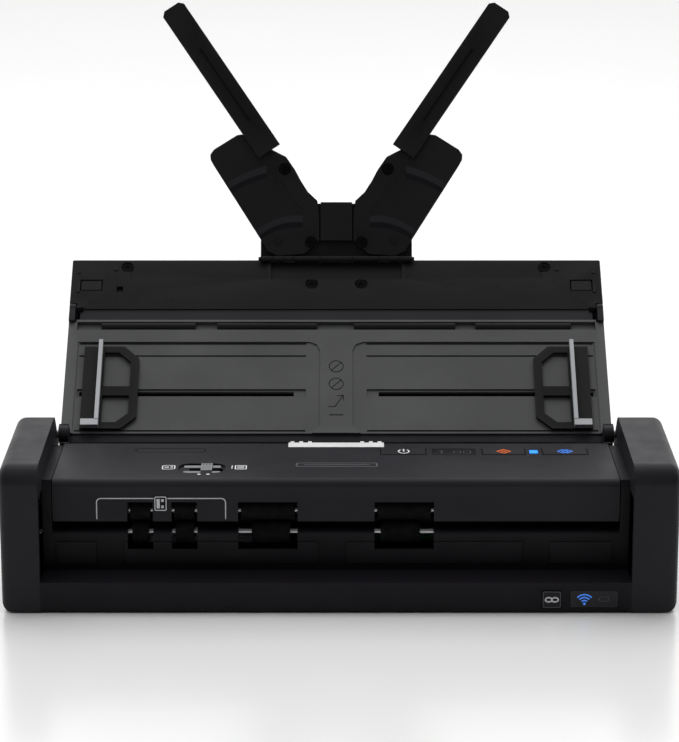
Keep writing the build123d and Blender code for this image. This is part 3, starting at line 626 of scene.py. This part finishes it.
def arm_ribs(side, part):
    sign = SIGN[side]

    def draw(bm):
        for p0, p1, p2, width in [((33.2, 41.6), (43.0, 39.2), (51.6, 33.6), 3.4),
                                  ((16.0, 17.6), (27.6, 18.8), (37.6, 10.8), 3.2)]:
            curve = []
            for i in range(13):
                t = i / 12
                curve.append(tuple((1 - t) ** 2 * a + 2 * t * (1 - t) * b + t * t * c
                                   for a, b, c in zip(p0, p1, p2)))
            upper = [inside_plate(x, y + width) for x, y in curve]
            lower = [inside_plate(x, y - width * 0.8) for x, y in curve]
            curve = [inside_plate(x, y) for x, y in curve]
            # The light part is each bead's upper slope, a painted highlight; the dark part is its
            # lower slope, painted shade.
            if part == "light":
                rib(bm, ARM_FACES[side], sign, curve, upper, 0.28 * MM, 0.02 * MM)
            else:
                rib(bm, ARM_FACES[side], sign, lower, curve, 0.02 * MM, 0.28 * MM)
    return draw


def along_arm(sign, distance, across):
    """A point beside the centre line of a blade."""
    lean, short = radians(BLADE_LEAN), BLADE_END - distance
    return (sign * (BLADE_TIP[0] - short * sin(lean) + across * cos(lean)),
            BLADE_TIP[1] - short * cos(lean) - across * sin(lean))


def arm_rail(side):
    sign = SIGN[side]

    def draw(bm):
        strip(bm, ARM_FACES[side], [along_arm(sign, 6.0, 3.2), along_arm(sign, 44.0, 3.2)], 0.5)
        strip(bm, ARM_FACES[side], [along_arm(sign, 6.0, 5.0), along_arm(sign, 44.0, 5.0)], 0.35)
    return draw


def blade_lines(side):
    """Joint of the end cap, frame of the stop tab and the edge of the outer strip."""
    sign = SIGN[side]

    def draw(bm):
        face = BLADE_FACES[side]
        strip(bm, face, [along_arm(sign, 121.6, -5.9), along_arm(sign, 121.6, 5.9)], 0.35)
        tab = [along_arm(sign, 44.6, -1.3), along_arm(sign, 56.4, -1.3),
               along_arm(sign, 56.4, 1.3), along_arm(sign, 44.6, 1.3), along_arm(sign, 44.6, -1.3)]
        strip(bm, face, tab, 0.3)
        strip(bm, face, [along_arm(sign, 46.0, 4.6), along_arm(sign, 110.0, 4.6)], 0.35)
    return draw


for side in ("left", "right"):
    # Painted light on the beads: upper slopes in the lighter case_grey as a painted highlight,
    # lower slopes in case_black as painted shade.
    drawn(f"{side}_rib_tops_painted_light", ARM_FACES[side], MATERIALS["case_grey"], arm_ribs(side, "light"))
    drawn(f"{side}_rib_feet_painted_shade", ARM_FACES[side], MATERIALS["case_black"], arm_ribs(side, "dark"))
    drawn(f"{side}_arm_rail", ARM_FACES[side], DARK_INK, arm_rail(side))
    drawn(f"{side}_blade_lines", BLADE_FACES[side], DARK_INK, blade_lines(side))


# ---- Stage ---------------------------------------------------------------------------------
FLOOR_SIZE = 12.0                    # metres
CAMERA_LENS, CAMERA_PITCH = 128.6, 15
CAMERA_PLACE = (0.0, -1.10825, 0.392)


def stage():
    """Pale glossy floor, a sky that is bright behind the object, and three soft lights."""
    bpy.ops.mesh.primitive_plane_add(size=FLOOR_SIZE, location=(0, 0, 0))
    floor = bpy.context.object
    floor.name = "studio_floor"
    paper, tree = new_material("studio_paper")
    place = node(tree, "ShaderNodeTexCoord").outputs["Object"]
    mottle = node(tree, "ShaderNodeTexNoise", {"Vector": place, "Scale": 2.0, "Detail": 2.0})
    shade = ramp(tree, mottle.outputs["Fac"], 0.3, 0.7, grey(0.80), grey(0.83))
    shader = node(tree, "ShaderNodeBsdfPrincipled", {"Base Color": shade, "Roughness": 0.35,
                                                     "Coat Weight": 1.0, "Coat IOR": 1.9,
                                                     "Coat Roughness": 0.2})
    finish_material(tree, shader)
    floor.data.materials.append(paper)

    world = bpy.data.worlds.new("studio")
    bpy.context.scene.world = world
    world.use_nodes = True
    sky = world.node_tree
    heading = node(sky, "ShaderNodeSeparateXYZ",
                   {"Vector": node(sky, "ShaderNodeTexCoord").outputs["Generated"]})
    glow = ramp(sky, heading.outputs["Y"], -0.25, 0.35, grey(0.13), grey(1.0))
    sky.links.new(glow, sky.nodes["Background"].inputs["Color"])
    sky.nodes["Background"].inputs["Strength"].default_value = 1.0

    for name, place, aim, size, power in [
            ("key_light", (-0.9, -0.7, 1.8), (0, 0, 0.05), 1.2, 8.0),
            ("fill_light", (1.2, -0.7, 1.5), (0, 0, 0.05), 1.4, 4.0),
            ("top_light", (0.0, 0.7, 2.0), (0, 0.2, 0.05), 2.2, 44.0)]:
        light = bpy.data.lights.new(name, "AREA")
        light.energy, light.size = power, size
        lit = bpy.data.objects.new(name, light)
        lit.location = place
        lit.rotation_euler = (Vector(aim) - Vector(place)).to_track_quat("-Z", "Y").to_euler()
        lit.visible_glossy = False   # the floor mirrors the object, not the lamps
        bpy.context.scene.collection.objects.link(lit)

    bpy.context.scene.view_settings.view_transform = "Standard"


def camera():
    """At the photograph's viewing angle: level with the tray, looking 15 degrees down."""
    eye = bpy.data.cameras.new("camera")
    eye.lens, eye.sensor_width = CAMERA_LENS, 36.0
    made = bpy.data.objects.new("camera", eye)
    made.location = CAMERA_PLACE
    made.rotation_euler = Euler((radians(90 - CAMERA_PITCH), 0, 0))
    bpy.context.scene.collection.objects.link(made)
    bpy.context.scene.camera = made


stage()
camera()
